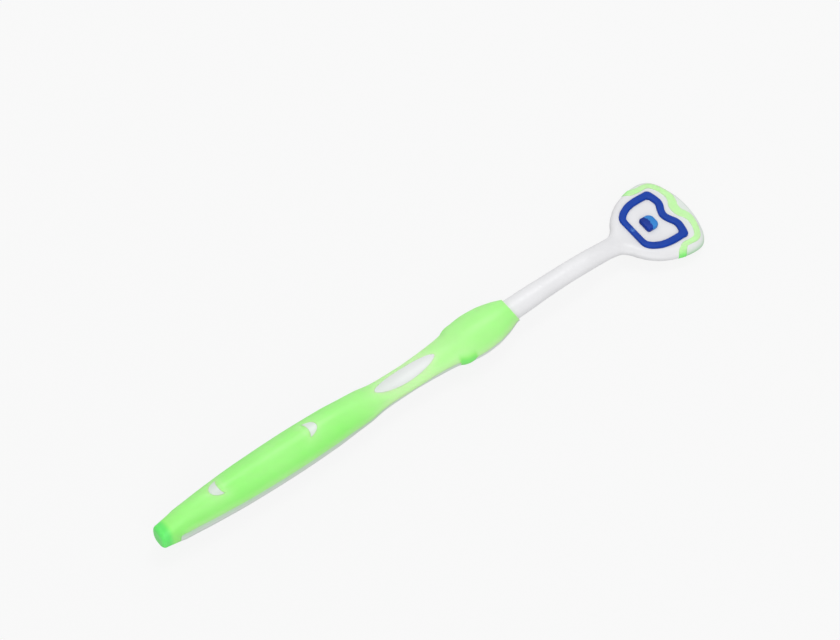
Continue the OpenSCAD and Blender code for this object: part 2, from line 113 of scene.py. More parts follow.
def cutShell(points, keep, wall, lip, closed=True, pole=False):
    # A sheet of points, cut where keep(p) falls under the lip's radius and given a wall.
    # Vertices near the cut slide along the surface onto it: p - d g / |g|^2, with d the signed
    # distance and g its slope in the surface. The cut edge is rounded by a quarter circle
    # (lip sin, lip (1 - cos)) before the wall goes down.
    rows, cols, _ = points.shape
    normals = gridNormals(points, closed).reshape(-1, 3)
    flat = points.reshape(-1, 3).copy()
    d = keep(flat) - lip
    probe = cutting["probe"]
    g = np.stack([(keep(flat + e) - keep(flat - e)) / (2 * probe) for e in np.eye(3) * probe], -1)
    g -= np.sum(g * normals, 1, keepdims=True) * normals
    size = np.maximum(np.linalg.norm(g, axis=1), cutting["leastSlope"])
    down = np.roll(points, -1, 0) - points
    down[-1] = 0
    right = np.roll(points, -1, 1) - points
    if not closed:
        right[:, -1] = 0
    spacing = np.maximum(np.linalg.norm(down, axis=2), np.linalg.norm(right, axis=2)).reshape(-1)
    spacing = np.maximum(spacing, np.roll(spacing, 1))
    near = np.abs(d) < cutting["pull"] * spacing * size
    move = np.where(near, d / size ** 2, 0)[:, None] * g
    flat -= move
    inside = (d < 0) & ~near
    aim = -g / size[:, None]

    k = np.arange(rows * cols).reshape(rows, cols)
    if pole:
        k[0] = 0
    wide = np.roll(k, -1, 1) if closed else k[:, 1:]
    base = k if closed else k[:, :-1]
    a, b, c, e = (v.reshape(-1) for v in (base[:-1], wide[:-1], wide[1:], base[1:]))
    turn = inside[a] | inside[c]
    one = np.where(turn[:, None], np.stack([a, b, e], -1), np.stack([a, b, c], -1))
    two = np.where(turn[:, None], np.stack([b, c, e], -1), np.stack([a, c, e], -1))
    tris = np.concatenate([one, two])
    tris = tris[(tris[:, 0] != tris[:, 1]) & (tris[:, 1] != tris[:, 2]) & (tris[:, 0] != tris[:, 2])]
    tris = tris[~inside[tris].any(1)]
    allNear = near[tris].all(1)
    tris = tris[~(allNear & (keep(flat[tris].mean(1)) < lip + cutting["sliver"]))]

    edges = np.concatenate([tris[:, [0, 1]], tris[:, [1, 2]], tris[:, [2, 0]]])
    count = len(flat)
    code = edges[:, 0] * count + edges[:, 1]
    back = edges[:, 1] * count + edges[:, 0]
    rim = edges[~np.isin(code, back)]
    rimPoints = np.unique(rim)
    place = np.zeros(count, int)
    place[rimPoints] = np.arange(len(rimPoints))

    p, n, o = flat[rimPoints], normals[rimPoints], aim[rimPoints]
    o /= np.maximum(np.linalg.norm(o, axis=1, keepdims=True), 1e-9)
    turns = np.radians(cutting["roundTurns"])
    rings = [p + lip * (np.sin(q) * o - (1 - np.cos(q)) * n) for q in turns] + [p + lip * o - wall * n]
    sheets = np.concatenate([flat, flat - wall * normals])
    ringStarts = [2 * count + i * len(rimPoints) + np.arange(len(rimPoints)) for i in range(len(rings))]
    starts = [rimPoints] + ringStarts + [rimPoints + count]
    faces = [tris, tris[:, ::-1] + count]
    ea, eb = place[rim[:, 0]], place[rim[:, 1]]
    for upper, lower in zip(starts[:-1], starts[1:]):
        faces.append(np.stack([upper[eb], upper[ea], lower[ea]], -1))
        faces.append(np.stack([upper[eb], lower[ea], lower[eb]], -1))
    points = np.concatenate([sheets] + rings)
    tris = np.concatenate(faces)
    used = np.unique(tris)
    newPlace = np.zeros(len(points), int)
    newPlace[used] = np.arange(len(used))
    return points[used], outward(points[used], newPlace[tris])


def makePiece(name, shells, material, node, values=None):
    # joins closed shells into one mesh, in metres, riding on the root body
    points = np.concatenate([s[0] for s in shells])
    starts = np.cumsum([0] + [len(s[0]) for s in shells[:-1]])
    tris = np.concatenate([s[1] + k for s, k in zip(shells, starts)])
    mesh = bpy.data.meshes.new(name)
    mesh.from_pydata(points * mm, [], tris)
    mesh.polygons.foreach_set("use_smooth", np.ones(len(tris), bool))
    for label, function in (values or {}).items():
        layer = mesh.attributes.new(label, "FLOAT", "POINT")
        layer.data.foreach_set("value", np.asarray(function(points), np.float32))
    mesh.validate()
    mesh.update()
    piece = bpy.data.objects.new(name, mesh)
    bpy.context.scene.collection.objects.link(piece)
    mesh.materials.append(material)
    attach(piece, "root")
    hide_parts(node)
    print("made", name, len(tris), "triangles")
    return piece


# The handle's outer form, shared by the grip and the white underside.
handle = {
    "overall": 200.8, "gripLength": 131.2, "endWidth": 6.1, "endHeight": 7.4, "endRound": 1.1,
    "bellyWidth": 13.0, "bellyHeight": 14.8, "waistWidth": 9.1, "waistTop": 2.9, "waistUnder": 4.2,
    "bulgeWidth": 14.7, "bulgeHeight": 11.4, "cuffWidth": 8.35, "cuffHeight": 8.45, "cuffLean": 1.7,
    "gripWall": 1.1, "capLength": 5.8, "seamSwing": 0.8,
    "strapStart": 107.8, "strapWidth": 4.6, "strapProud": 0.4, "strapShape": 1.2,
    "overrun": 1.5,  # how far the sheet runs past the grip's front edge before it is cut
    "coreShare": 0.93,  # the core follows the handle's form up to this share of the grip
}
endX = -handle["overall"] / 2
axisZ = handle["bellyHeight"] / 2
cutX = endX + handle["gripLength"]
endW, endH, bellyW, bellyH = (handle[k] for k in ("endWidth", "endHeight", "bellyWidth", "bellyHeight"))
waistW, waistT, waistU = (handle[k] for k in ("waistWidth", "waistTop", "waistUnder"))
bulgeW, bulgeH, cuffW, cuffH = (handle[k] for k in ("bulgeWidth", "bulgeHeight", "cuffWidth", "cuffHeight"))
# columns: share of the grip's length, half width, height above the axis, depth under it, squareness
handleRows = np.array([
    [0, endW / 2, endH * 0.49, endH * 0.51, 2.7], [0.018, endW * 0.55, endH * 0.59, endH * 0.6, 2.6],
    [0.041, endW * 0.604, endH * 0.74, endH * 0.745, 2.35],
    [0.061, bellyW * 0.324, bellyH * 0.419, bellyH * 0.419, 2.2],
    [0.084, bellyW * 0.343, bellyH * 0.449, bellyH * 0.449, 2.12],
    [0.117, bellyW * 0.381, bellyH * 0.473, bellyH * 0.473, 2.05],
    [0.16, bellyW * 0.423, bellyH * 0.49, bellyH * 0.49, 2],
    [0.237, bellyW * 0.474, bellyH * 0.498, bellyH * 0.499, 2],
    [0.356, bellyW / 2, bellyH / 2, bellyH / 2, 2],
    [0.465, bellyW * 0.476, bellyH * 0.486, bellyH * 0.487, 2],
    [0.528, bellyW * 0.438, bellyH * 0.419, bellyH * 0.432, 2],
    [0.569, bellyW * 0.418, bellyH * 0.351, bellyH * 0.372, 2],
    [0.589, bellyW * 0.39, bellyH * 0.311, bellyH * 0.345, 2],
    [0.606, bellyW * 0.367, bellyH * 0.272, bellyH * 0.318, 2],
    [0.638, waistW * 0.505, waistT * 1.18, waistU * 1.03, 2],
    [0.693, waistW / 2, waistT, waistU, 2],
    [0.737, waistW * 0.524, waistT * 1.05, waistU * 1.03, 2],
    [0.772, waistW * 0.555, waistT * 1.18, waistU * 1.09, 2],
    [0.811, waistW * 0.61, waistT * 1.4, waistU * 1.17, 2],
    [0.834, bulgeW * 0.424, bulgeH * 0.41, bulgeH * 0.45, 2],
    [0.864, bulgeW * 0.484, bulgeH * 0.475, bulgeH * 0.49, 2],
    [0.889, bulgeW / 2, bulgeH / 2, bulgeH / 2, 2],
    [0.924, bulgeW * 0.481, bulgeH * 0.505, bulgeH * 0.465, 2],
    [0.963, bulgeW * 0.4, bulgeH * 0.48, bulgeH * 0.41, 2],
    [1, cuffW / 2, cuffH * 0.55, cuffH * 0.41, 2],
    [1.02, cuffW * 0.46, cuffH * 0.53, cuffH * 0.38, 2],
])
# columns: share of the grip's length, height of the seam as a share of its swing
seamRows = np.array([
    [0, 0.85], [0.16, 0.95], [0.256, 0.85], [0.35, 0.72], [0.45, 0.52], [0.5, 0.42], [0.54, -0.1],
    [0.62, 0.2], [0.7, -0.4], [0.75, 0.3], [0.78, 0.4], [0.86, 0.1], [0.92, 0.5], [0.96, 0.4], [1.1, -0.3],
])


def shareAt(x):
    # share of the grip's length, from the flat end
    return (x - endX) / handle["gripLength"]


def seamZ(x):
    # height of the seam between green and white = axis + swing * table
    return axisZ + handle["seamSwing"] * curveAt(seamRows, 1, np.clip(shareAt(x), 0, 1.09))


def handleAt(column, x):
    # the share stops just short of the table's last row
    return curveAt(handleRows, column, np.clip(shareAt(x), 0, 1.019))


def handleRings(x, out, columns):
    # superellipse about the axis: y = a |cos|^(2/n), z = up or under |sin|^(2/n), swollen at the strap
    t = (x - endX - handle["strapStart"]) / handle["strapWidth"]
    hump = np.sin(np.pi * np.clip(t, 0, 1)) ** handle["strapShape"]
    swell = np.where((t > 0) & (t < 1), handle["strapProud"] * hump, 0)
    a, up, under, n = (handleAt(k, x)[:, None] for k in (1, 2, 3, 4))
    a, up, under = a + (out + swell)[:, None], up + out[:, None], under + (out + swell)[:, None]
    q = 2 * np.pi * np.arange(columns) / columns
    c, v = np.cos(q)[None], np.sin(q)[None]
    y = a * np.sign(c) * np.abs(c) ** (2 / n)
    z = np.where(v > 0, up, under) * np.sign(v) * np.abs(v) ** (2 / n)
    return np.stack([np.broadcast_to(x[:, None], y.shape), y, axisZ + z], -1)


def handleSheet(columns, spacing, sink):
    # the flat end's face from its middle, its quarter-round rim, then the length of the grip
    r = handle["endRound"]
    faceShares = np.array([0.0, 0.2, 0.4, 0.6, 0.8, 0.92])
    rim = handleRings(np.array([endX]), np.array([-r]), columns)[0]
    middle = rim.mean(0)
    face = middle + faceShares[:, None, None] * (rim - middle)
    turn = np.radians(np.linspace(0, 90, 9))
    bend = handleRings(endX + r * (1 - np.cos(turn)), -r * (1 - np.sin(turn)), columns)
    front = cutX + handle["overrun"]
    x = np.linspace(endX + r, front, int((front - endX - r) / spacing))[1:]
    body = handleRings(x, np.full(len(x), -sink), columns)
    return np.concatenate([face, bend, body])


# The windows in the grip, and the rounded ends of the white strip under the seam.
windows = {
    "thumbStart": 79.2, "thumbLength": 22.4, "thumbWidth": 5.1,
    "ovalSwell": 2.22, "ovalRear": 0.57, "ovalFront": 0.58,
    "crescentStart": 18.9, "crescentGap": 34.7,
    "crescentLength": 3.9, "crescentWidth": 5.0, "crescentBite": 1.0,
    "cornerRound": 1.2,
    "lowest": 0.5,  # height over the axis from which the windows cut
    "frontRun": 6.0,  # how far the front strip runs on past the grip
    "seamGap": 0.01,
}


def thumbDistance(x, y):
    # half width of the oval = W/2 swell s^rear (1-s)^front; distance = its value over its slope
    s = (x - endX - windows["thumbStart"]) / windows["thumbLength"]
    inner = np.clip(s, 1e-4, 1 - 1e-4)
    rear, front = windows["ovalRear"], windows["ovalFront"]
    w = windows["thumbWidth"] / 2 * windows["ovalSwell"] * inner ** rear * (1 - inner) ** front
    slope = w * (rear / inner - front / (1 - inner)) / windows["thumbLength"]
    gap = (np.abs(y) - w) / np.sqrt(1 + slope ** 2)
    beyond = np.maximum(-s, s - 1) * windows["thumbLength"]
    return np.where(beyond > 0, np.hypot(beyond, y), gap)


def crescentDistance(x, y, back, side):
    # outside of the big half ellipse, or inside of the bite: the larger of the two signed distances
    u = (x - back) * side - windows["crescentLength"]
    half = windows["crescentWidth"] / 2

    def ellipse(length):
        # signed distance = (f - 1) / slope of f, with f the ellipse's own radius
        f = np.hypot(u / length, y / half)
        slope = np.hypot(u / length ** 2, y / half ** 2) / np.maximum(f, 1e-6)
        return (f - 1) / np.maximum(slope, 1e-6)

    return np.maximum(np.maximum(ellipse(windows["crescentLength"]), -ellipse(windows["crescentBite"])), u)


farAway = 9.0  # stands for any distance that is too great to matter


def windowDistance(p):
    # distance outside of the nearest window, on the upper side of the handle only
    x, y, z = p.T
    first = endX + windows["crescentStart"]
    second = first + windows["crescentGap"] + windows["crescentLength"]
    d = np.minimum(thumbDistance(x, y), crescentDistance(x, y, first, 1))
    d = np.minimum(d, crescentDistance(x, y, second, -1))
    return np.where(z > axisZ + windows["lowest"], d, farAway)


def underDistance(p, start, end):
    # how far p is outside of a rounded rectangle under the seam: length of what lies beyond its
    # corner's middle, less the radius
    x, _, z = p.T
    r = windows["cornerRound"]
    along = np.abs(x - (start + end) / 2) - (end - start) / 2 + r
    above = z - seamZ(x) + r
    beyond = np.hypot(np.maximum(along, 0), np.maximum(above, 0))
    return beyond + np.minimum(np.maximum(along, above), 0) - r


def frontDistance(p):
    # distance behind the grip's front edge, which leans back by "lean" for each mm over the seam
    lean = handle["cuffLean"] / (cuffH / 2)
    return (cutX - lean * (p[:, 2] - seamZ(np.full(len(p), cutX))) - p[:, 0]) / np.hypot(1, lean)


def whiteDistance(p):
    # distance outside of every white area of the handle
    strapX = endX + handle["strapStart"]
    rear = underDistance(p, endX + handle["capLength"], strapX)
    front = underDistance(p, strapX + handle["strapWidth"], cutX + windows["frontRun"])
    return np.minimum(np.minimum(rear, front), windowDistance(p))


def greenKeep(p):
    # distance inside the green = the smaller of those to the white areas and to the front edge
    return np.minimum(whiteDistance(p), frontDistance(p))


def whiteKeep(p):
    # the same for the white areas, which stop a hair short of the green
    return np.minimum(-whiteDistance(p), frontDistance(p)) - windows["seamGap"]


# Neck and head, one loft with the hard core inside the grip.
head = {
    "neckRootWidth": 7.3, "neckWidth": 6.6, "neckHeight": 5.6, "neckRise": 1.2,
    "width": 30.2, "reach": 15.1, "thick": 4.4, "rimRound": 4.2, "pitch": 6.0, "bandProud": 0.15,
    "restShare": 0.87,  # share of the reach at which the underside touches the table
    "tipStart": 0.86, "tipRound": 1.1,  # where the blunt tip starts, and its rounding over the rim's
}
pitch = np.radians(head["pitch"])
reach = head["reach"] * np.cos(pitch)
headX = handle["overall"] / 2 - reach
headHalf = head["thick"] / 2 / np.cos(pitch)
headZ = headHalf + head["bandProud"] + head["reach"] * head["restShare"] * np.sin(pitch)
neckSpan = headX - reach - cutX
wall, rr = handle["gripWall"], head["rimRound"]
nw, nh = head["neckWidth"] / 2, head["neckHeight"] / 2


def headRow(u, v, side):
    # u in shares of the reach from the head's middle, v in shares of its half width
    return [headX + u * reach, head["width"] / 2 * v, headHalf, headHalf, side]


def neckRow(s, w, h):
    # s in shares of the neck's span, w and h in shares of its half width and half height
    return [cutX + neckSpan * s, nw * w, nh * h, nh * h, nw * w]


# columns: x, half width, height above and depth under the middle, and how far in from the side the
# rounding runs
hardRows = np.array(
    [[endX + handle["gripLength"] * r[0], r[1] - wall, r[2] - wall, r[3] - wall, r[1] - wall]
     for r in handleRows if r[0] < handle["coreShare"]]
    + [[cutX, head["neckRootWidth"] / 2, nh * 1.16, nh * 1.16, head["neckRootWidth"] / 2],
       neckRow(0.15, 1.09, 1.09), neckRow(0.32, 1.03, 1.04), neckRow(0.52, 1, 1),
       neckRow(0.75, 1, 0.93), neckRow(0.9, 0.995, 0.84), neckRow(0.98, 1.03, 0.78),
       [headX - 0.93 * reach, nw * 1.1, nh * 0.75, nh * 0.75, nw * 1.05],
       [headX - 0.86 * reach, nw * 1.25, nh * 0.755, nh * 0.755, nw * 1.22],
       [headX - 0.8 * reach, head["width"] / 2 * 0.316, headHalf * 0.98, headHalf * 0.98, nw * 1.4],
       headRow(-0.73, 0.388, nw * 1.5), headRow(-0.665, 0.478, nw * 1.5), headRow(-0.6, 0.552, rr * 1.2),
       headRow(-0.53, 0.624, rr * 1.15), headRow(-0.33, 0.78, rr * 1.05), headRow(-0.165, 0.868, rr),
       headRow(0, 0.928, rr), headRow(0.165, 0.975, rr), headRow(0.33, 1, rr), headRow(0.46, 1.004, rr),
       headRow(0.6, 0.985, rr), headRow(0.69, 0.947, rr), headRow(0.77, 0.877, rr),
       headRow(0.825, 0.803, rr * 1.05), headRow(head["tipStart"], 0.742, rr * head["tipRound"])])
# the blunt tip, columns: share of the reach, of the half width, of the half thickness
tipRows = np.array([
    [head["tipStart"], 0.742, 1], [0.895, 0.662, 0.995], [0.93, 0.565, 0.975], [0.96, 0.465, 0.92],
    [0.98, 0.372, 0.82], [0.993, 0.265, 0.64], [1, 0.02, 0.06],
])
# the neck's arch and the drop to the head, columns: share of the neck's span, share of the way
liftRows = np.array([
    [-4, 0], [-0.3, 0], [0, 0.5], [0.15, 0.72], [0.3, 0.93], [0.5, 0.95], [0.7, 0.6], [0.85, 0.28],
    [1, 0.1], [1.2, 0], [3, 0],
])
dropRows = np.array([
    [-4, 0], [0.7, 0], [0.85, 0.12], [0.95, 0.34], [1.02, 0.58], [1.09, 0.82], [1.15, 0.93], [1.21, 1],
    [3, 1],
])


def centreZ(x):
    # height of the middle: the handle's axis with the neck's arch, blended into the head's dipping plane
    s = (x - cutX) / neckSpan
    drop = curveAt(dropRows, 1, s)
    plane = headZ + (headX - x) * np.tan(pitch)
    return plane * drop + (axisZ + head["neckRise"] * curveAt(liftRows, 1, s)) * (1 - drop)


section = {"turnSteps": 90, "flatSteps": 11, "leastFlat": 0.05}  # steps before they are spread evenly


def sectionRings(x, a, up, under, side, half):
    # Half section from the lowest to the highest middle point: flat, quarter ellipse out to the side,
    # quarter ellipse back, flat. Points are spread evenly along it, then mirrored.
    flat = np.maximum(a * section["leastFlat"], a - side)[:, None]
    turn = a[:, None] - flat
    steps = section["flatSteps"]
    q = np.radians(np.linspace(-90, 90, section["turnSteps"] + 1))[None]
    run = np.linspace(0, 1, steps + 1)[None]
    y = np.concatenate([flat * run[:, :-1], flat + turn * np.cos(q), flat * run[:, ::-1][:, 1:]], 1)
    z = np.where(q > 0, up[:, None], under[:, None]) * np.sin(q)
    z = np.concatenate([np.repeat(z[:, :1], steps, 1), z, np.repeat(z[:, -1:], steps, 1)], 1)
    length = np.concatenate([np.zeros((len(x), 1)), np.cumsum(np.hypot(np.diff(y), np.diff(z)), 1)], 1)
    rings = []
    for i in range(len(x)):
        at = np.linspace(0, length[i, -1], half + 1)
        yy, zz = np.interp(at, length[i], y[i]), np.interp(at, length[i], z[i])
        rings.append(np.stack([np.concatenate([yy, -yy[-2:0:-1]]), np.concatenate([zz, zz[-2:0:-1]])], -1))
    rings = np.array(rings)
    place = np.broadcast_to(x[:, None], rings.shape[:2])
    return np.stack([place, rings[..., 0], centreZ(x)[:, None] + rings[..., 1]], -1)


def hardRings(x, out, half):
    # stations of the table, each grown by "out"
    a, up, under, side = (curveAt(hardRows, k, x) + out for k in (1, 2, 3, 4))
    return sectionRings(x, a, up, under, side, half)


def tipRings(count, out, half):
    # stations at start + (1 - start) sin q close up towards the tip, so that the blunt end stays round
    start = head["tipStart"]
    q = np.radians(np.linspace(0, 90, count + 1))[1:]
    table = tipRows.copy()
    table[:, 0] = np.arcsin(np.clip((tipRows[:, 0] - start) / (1 - start), 0, 1))
    u = start + (1 - start) * np.sin(q)
    a = head["width"] / 2 * curveAt(table, 1, q)
    h = (headHalf + out) * curveAt(table, 2, q)
    rim = rr * head["tipRound"]
    side = rim + (a - rim) * (u - start) / (1 - start)
    return sectionRings(headX + u * reach + out * u, a + out, h, h, np.minimum(side, a) + out, half)


def onHead(p):
    # u along the head's plane, v across it, w above its mid-plane, turned by the pitch to x, y, z
    u, v, w = p.T
    c, d = np.cos(pitch), np.sin(pitch)
    return np.stack([headX + u * c + w * d, v, headZ - u * d + w * c], -1)


def headPlan(p):
    # back from x, y, z to u and v
    return (p[:, 0] - headX) * np.cos(pitch) - (p[:, 2] - headZ) * np.sin(pitch), p[:, 1]


def heightOnHead(p):
    # back from x, y, z to w
    return (p[:, 0] - headX) * np.sin(pitch) + (p[:, 2] - headZ) * np.cos(pitch)


# The green band round the tip: a strip of changing width along a wavy middle line. Its colour is painted
# deeper where it turns down over the rim, as painted shade.
band = {
    "wall": 0.7, "proud": 0.12, "lip": 0.12, "width": 3.0,
    "rearEnd": -0.32, "half": 150, "lines": 92, "tipLines": 22, "pathPoints": 260,
    # the deep colour is painted shade, where the band turns down over the rim
    "deep": linear(120, 235, 110), "body": linear(187, 247, 164), "rough": (0.4, 0.52),
    "rimShadeLeast": 0.1, "rimShadeRun": (0.4, 2.1),  # heights over the mid-plane
}
# columns: share of the reach, of the head's half width, of the band's width; each side adds its own rows
bandTipRows = [
    [0.702, 0, 1.025], [0.719, 0.11, 1], [0.777, 0.211, 0.939], [0.805, 0.348, 0.82], [0.787, 0.47, 0.74],
]
bandNearRows = np.array(bandTipRows + [
    [0.74, 0.62, 0.7], [0.66, 0.755, 0.72], [0.57, 0.81, 0.66], [0.42, 0.815, 0.58], [0.3, 0.81, 0.62],
    [0.21, 0.86, 0.74], [0.13, 0.94, 0.88], [0.085, 1.06, 0.9],
])
bandFarRows = np.array(bandTipRows + [
    [0.74, 0.625, 0.72], [0.66, 0.765, 0.78], [0.57, 0.825, 0.74], [0.44, 0.835, 0.7], [0.34, 0.835, 0.74],
    [0.27, 0.855, 0.82], [0.2, 0.875, 0.92], [0.145, 0.94, 1.0], [0.12, 1.06, 1.05],
])


def smoothPath(rows, count, closed=False, steps=24):
    # Catmull-Rom curve through the rows, then spread evenly along its length
    if closed:
        p = np.concatenate([rows[-1:], rows, rows[:2]])
    else:
        p = np.concatenate([2 * rows[:1] - rows[1:2], rows, 2 * rows[-1:] - rows[-2:-1]])
    t = np.linspace(0, 1, steps, endpoint=False)[None, :, None]
    a, b, c, d = (p[k:len(p) - 3 + k][:, None] for k in range(4))
    bend, twist = 2 * a - 5 * b + 4 * c - d, 3 * b - a - 3 * c + d
    q = 0.5 * (2 * b + (c - a) * t + bend * t ** 2 + twist * t ** 3)
    q = np.concatenate([q.reshape(-1, p.shape[1]), (rows[:1] if closed else rows[-1:])])
    length = np.concatenate([[0], np.cumsum(np.linalg.norm(np.diff(q[:, :2], axis=0), axis=1))])
    at = np.linspace(0, length[-1], count + 1)[:-1] if closed else np.linspace(0, length[-1], count)
    return np.stack([np.interp(at, length, q[:, k]) for k in range(p.shape[1])], -1)


bandScale = [head["reach"], head["width"] / 2, band["width"] / 2]
bandPaths = [smoothPath(rows * bandScale, band["pathPoints"]) for rows in (bandNearRows, bandFarRows)]


def bandKeep(p):
    # distance inside the strip = largest of radius - distance over the discs along its middle line
    u, v = headPlan(p)
    block = 20
    sides = []
    for path in bandPaths:
        best = np.full(len(p), -farAway)
        for k in range(0, len(path), block):
            part = path[k:k + block]
            d = part[:, 2] - np.hypot(u[:, None] - part[:, 0], np.abs(v)[:, None] - part[:, 1])
            best = np.maximum(best, d.max(1))
        sides.append(best)
    return np.where(v < 0, sides[0], sides[1])


# The scraping ring: a rounded ridge along a closed path with two lobes towards the tip.
ring = {
    "shift": (-0.15, 0.12, 0.12), "ridgeWidth": 2.4, "height": 0.7, "root": 0.9,
    "sideGap": 4.6, "endGap": 6.9,  # from the head's side and tip to the ring's middle line
    "along": 420, "across": 23, "sideShape": 0.45, "shoulder": 0.25, "domeShape": 0.8,
    "colour": linear(6, 60, 160), "dark": linear(4, 54, 148), "rough": (0.38, 0.5),
    # the moulding gate's vestige, drawn only as a pale spot of painted highlight: u and v on the head, its
    # size, the share of it that is full, and the grain that breaks it up
    "gateHighlight": {
        "u": -6.4, "v": 0.7, "size": 1.0, "full": 0.45, "strength": 0.75,
        "grain": 2600, "broken": (0.1, 1, 0.42, 0.6), "colour": linear(90, 140, 205),
    },
}
ringLength = 2 * (head["reach"] - ring["endGap"])
ringWidth = head["width"] - 2 * ring["sideGap"]
# half of the ring's middle line: share of its length and half width, share of the ridge's width
ringRows = np.array([
    [-0.388, 0, 0.86], [-0.388, 0.2, 0.86], [-0.387, 0.38, 0.87], [-0.379, 0.505, 0.92],
    [-0.343, 0.605, 0.98], [-0.274, 0.7, 0.99], [-0.192, 0.771, 0.99], [-0.104, 0.827, 1],
    [0.006, 0.862, 1.01], [0.122, 0.876, 1.04], [0.244, 0.876, 1.04], [0.335, 0.868, 1.06],
    [0.392, 0.846, 1.3], [0.425, 0.77, 1.12], [0.447, 0.665, 1.04], [0.463, 0.51, 1.03],
    [0.454, 0.4, 1.03], [0.427, 0.305, 1.03], [0.393, 0.21, 1], [0.366, 0.105, 1], [0.354, 0.03, 1],
])


def ringShell():
    # Section carried round the closed path: offset = half width * cos^sideShape, height = height *
    # (shoulder + (1 - shoulder) sin^domeShape), with a foot sunk into the head.
    rows = np.concatenate([ringRows, ringRows[:0:-1] * [1, -1, 1]])
    scale = [ringLength, ringWidth / 2, ring["ridgeWidth"] / 2]
    path = smoothPath(rows * scale, ring["along"], closed=True)
    along = np.roll(path, -1, 0) - np.roll(path, 1, 0)
    side = np.stack([along[:, 1], -along[:, 0]], -1)
    side /= np.linalg.norm(side, axis=1, keepdims=True)
    q = np.radians(np.linspace(180, 0, ring["across"]))
    across = np.sign(np.cos(q)) * np.abs(np.cos(q)) ** ring["sideShape"]
    up = ring["shoulder"] + (1 - ring["shoulder"]) * np.sin(q) ** ring["domeShape"]
    foot = [-ring["root"] / ring["height"]]
    across = np.concatenate([[-1.0], across, [1.0]])
    up = np.concatenate([foot, up, foot])
    plan = path[:, None, :2] + side[:, None] * path[:, 2, None, None] * across[None, :, None]
    height = np.broadcast_to(ring["height"] * up + head["thick"] / 2, plan.shape[:2])
    local = np.concatenate([plan, height[..., None]], -1)
    rows, cols, _ = local.shape
    k = np.arange(rows * cols).reshape(rows, cols)
    a, b = k, np.roll(k, -1, 1)
    c, d = np.roll(b, -1, 0), np.roll(k, -1, 0)
    tris = np.concatenate([np.stack([a, b, c], -1).reshape(-1, 3), np.stack([a, c, d], -1).reshape(-1, 3)])
    points = onHead(local.reshape(-1, 3) + ring["shift"])
    return points, outward(points, tris)


# The cushion in the middle of the ring, in two halves that meet at a ragged joint.
nub = {
    "length": 4.75, "width": 5.55, "back": 0.2, "height": 1.25, "round": 0.9, "edge": 0.5, "root": 0.9,
    "frontShare": 0.36,  # rounding of the front outline as a share of the width
    "nearShare": 0.9,  # width of the near side as a share of the far side's
    "crown": 0.12, "crownSink": 0.1, "across": 81, "along": 49,
    "jointMiddle": 0.03,
    "jointWaves": ((0.16, 2.1, 0.6), (0.1, 5.3, 1.2), (0.05, 11, 0)),  # height, rate, phase
    "jointEnds": ((0.5, 1.6, 2.6, 1), (0.75, 1.7, 2.5, -1)),  # set-back, from, to, side
    "navy": linear(10, 54, 152), "navyDark": linear(4, 40, 126),
    "sky": linear(50, 130, 204), "skyDark": linear(46, 120, 192), "rough": (0.36, 0.48),
}


def nubShells():
    # Plan grid of lines across the nub: each runs from the rear outline to the ragged joint, or on to
    # the front outline. Height = quarter round of the distance to the outline, then a low crown.
    long, w, r = nub["length"] / 2, nub["width"] / 2, nub["round"]
    wide = nub["width"] * nub["frontShare"]
    v = w * np.sin(np.radians(np.linspace(-90, 90, nub["across"])))

    def outline(y, radius):
        # half length at y of a rectangle with rounded corners
        inset = np.maximum(np.abs(y) - (w - radius), 0)
        return long - radius + np.sqrt(np.maximum(radius ** 2 - inset ** 2, 0))

    rear, front = -outline(v, r), outline(v, wide)
    joint = nub["jointMiddle"] + sum(h * np.sin(rate * v + phase) for h, rate, phase in nub["jointWaves"])
    joint = joint - sum(h * smoothStep(start, end, side * v) for h, start, end, side in nub["jointEnds"])

    def heightAt(u, y):
        # d is the distance inside the outline
        radius = np.where(u > 0, wide, r)
        px = np.abs(u) - (long - radius)
        py = np.abs(y) - (w - radius)
        d = radius - np.hypot(np.maximum(px, 0), np.maximum(py, 0)) - np.minimum(np.maximum(px, py), 0)
        edge = np.clip(1 - d / nub["edge"], 0, 1)
        crown = nub["crown"] * (1 - (u / long) ** 2) * (1 - (y / w) ** 2)
        return nub["height"] - nub["crownSink"] + crown - nub["edge"] * (1 - np.sqrt(1 - edge ** 2))

    shells = []
    for low, high in ((rear, joint), (joint, front)):
        s = (1 - np.cos(np.pi * np.linspace(0, 1, nub["along"]))) / 2
        u = low[:, None] + (high - low)[:, None] * s
        y = np.broadcast_to(v[:, None], u.shape)
        height = heightAt(u, y)
        y = np.where(y < 0, nub["nearShare"] * y, y)
        top = np.stack([u - nub["back"], y, head["thick"] / 2 + height], -1)
        foot = top.copy()
        foot[..., 2] = head["thick"] / 2 - nub["root"]
        # each ring goes over the top along one line and back underneath it
        points, tris = closedLoft(np.concatenate([top, foot[:, ::-1]], 1))
        points = onHead(points)
        shells.append((points, outward(points, tris)))
    return shells


print("forms set, ring", round(ringLength, 2), "by", round(ringWidth, 2), "mm along its middle line")


def newMaterial(name):
    # a material with Blender's standard surface shader
    material = bpy.data.materials.new(name)
    material.use_nodes = True
    nodes, links = material.node_tree.nodes, material.node_tree.links
    shader = nodes["Principled BSDF"]
    return material, nodes, links, shader


def addNode(nodes, kind, **inputs):
    # a node with values on its sockets
    node = nodes.new(kind)
    for key, value in inputs.items():
        node.inputs[key].default_value = value
    return node


def noiseOn(nodes, links, scale, detail=3.0):
    # noise that stays on the piece
    where = nodes.new("ShaderNodeTexCoord")
    noise = addNode(nodes, "ShaderNodeTexNoise", Scale=scale, Detail=detail)
    links.new(where.outputs["Object"], noise.inputs["Vector"])
    return noise


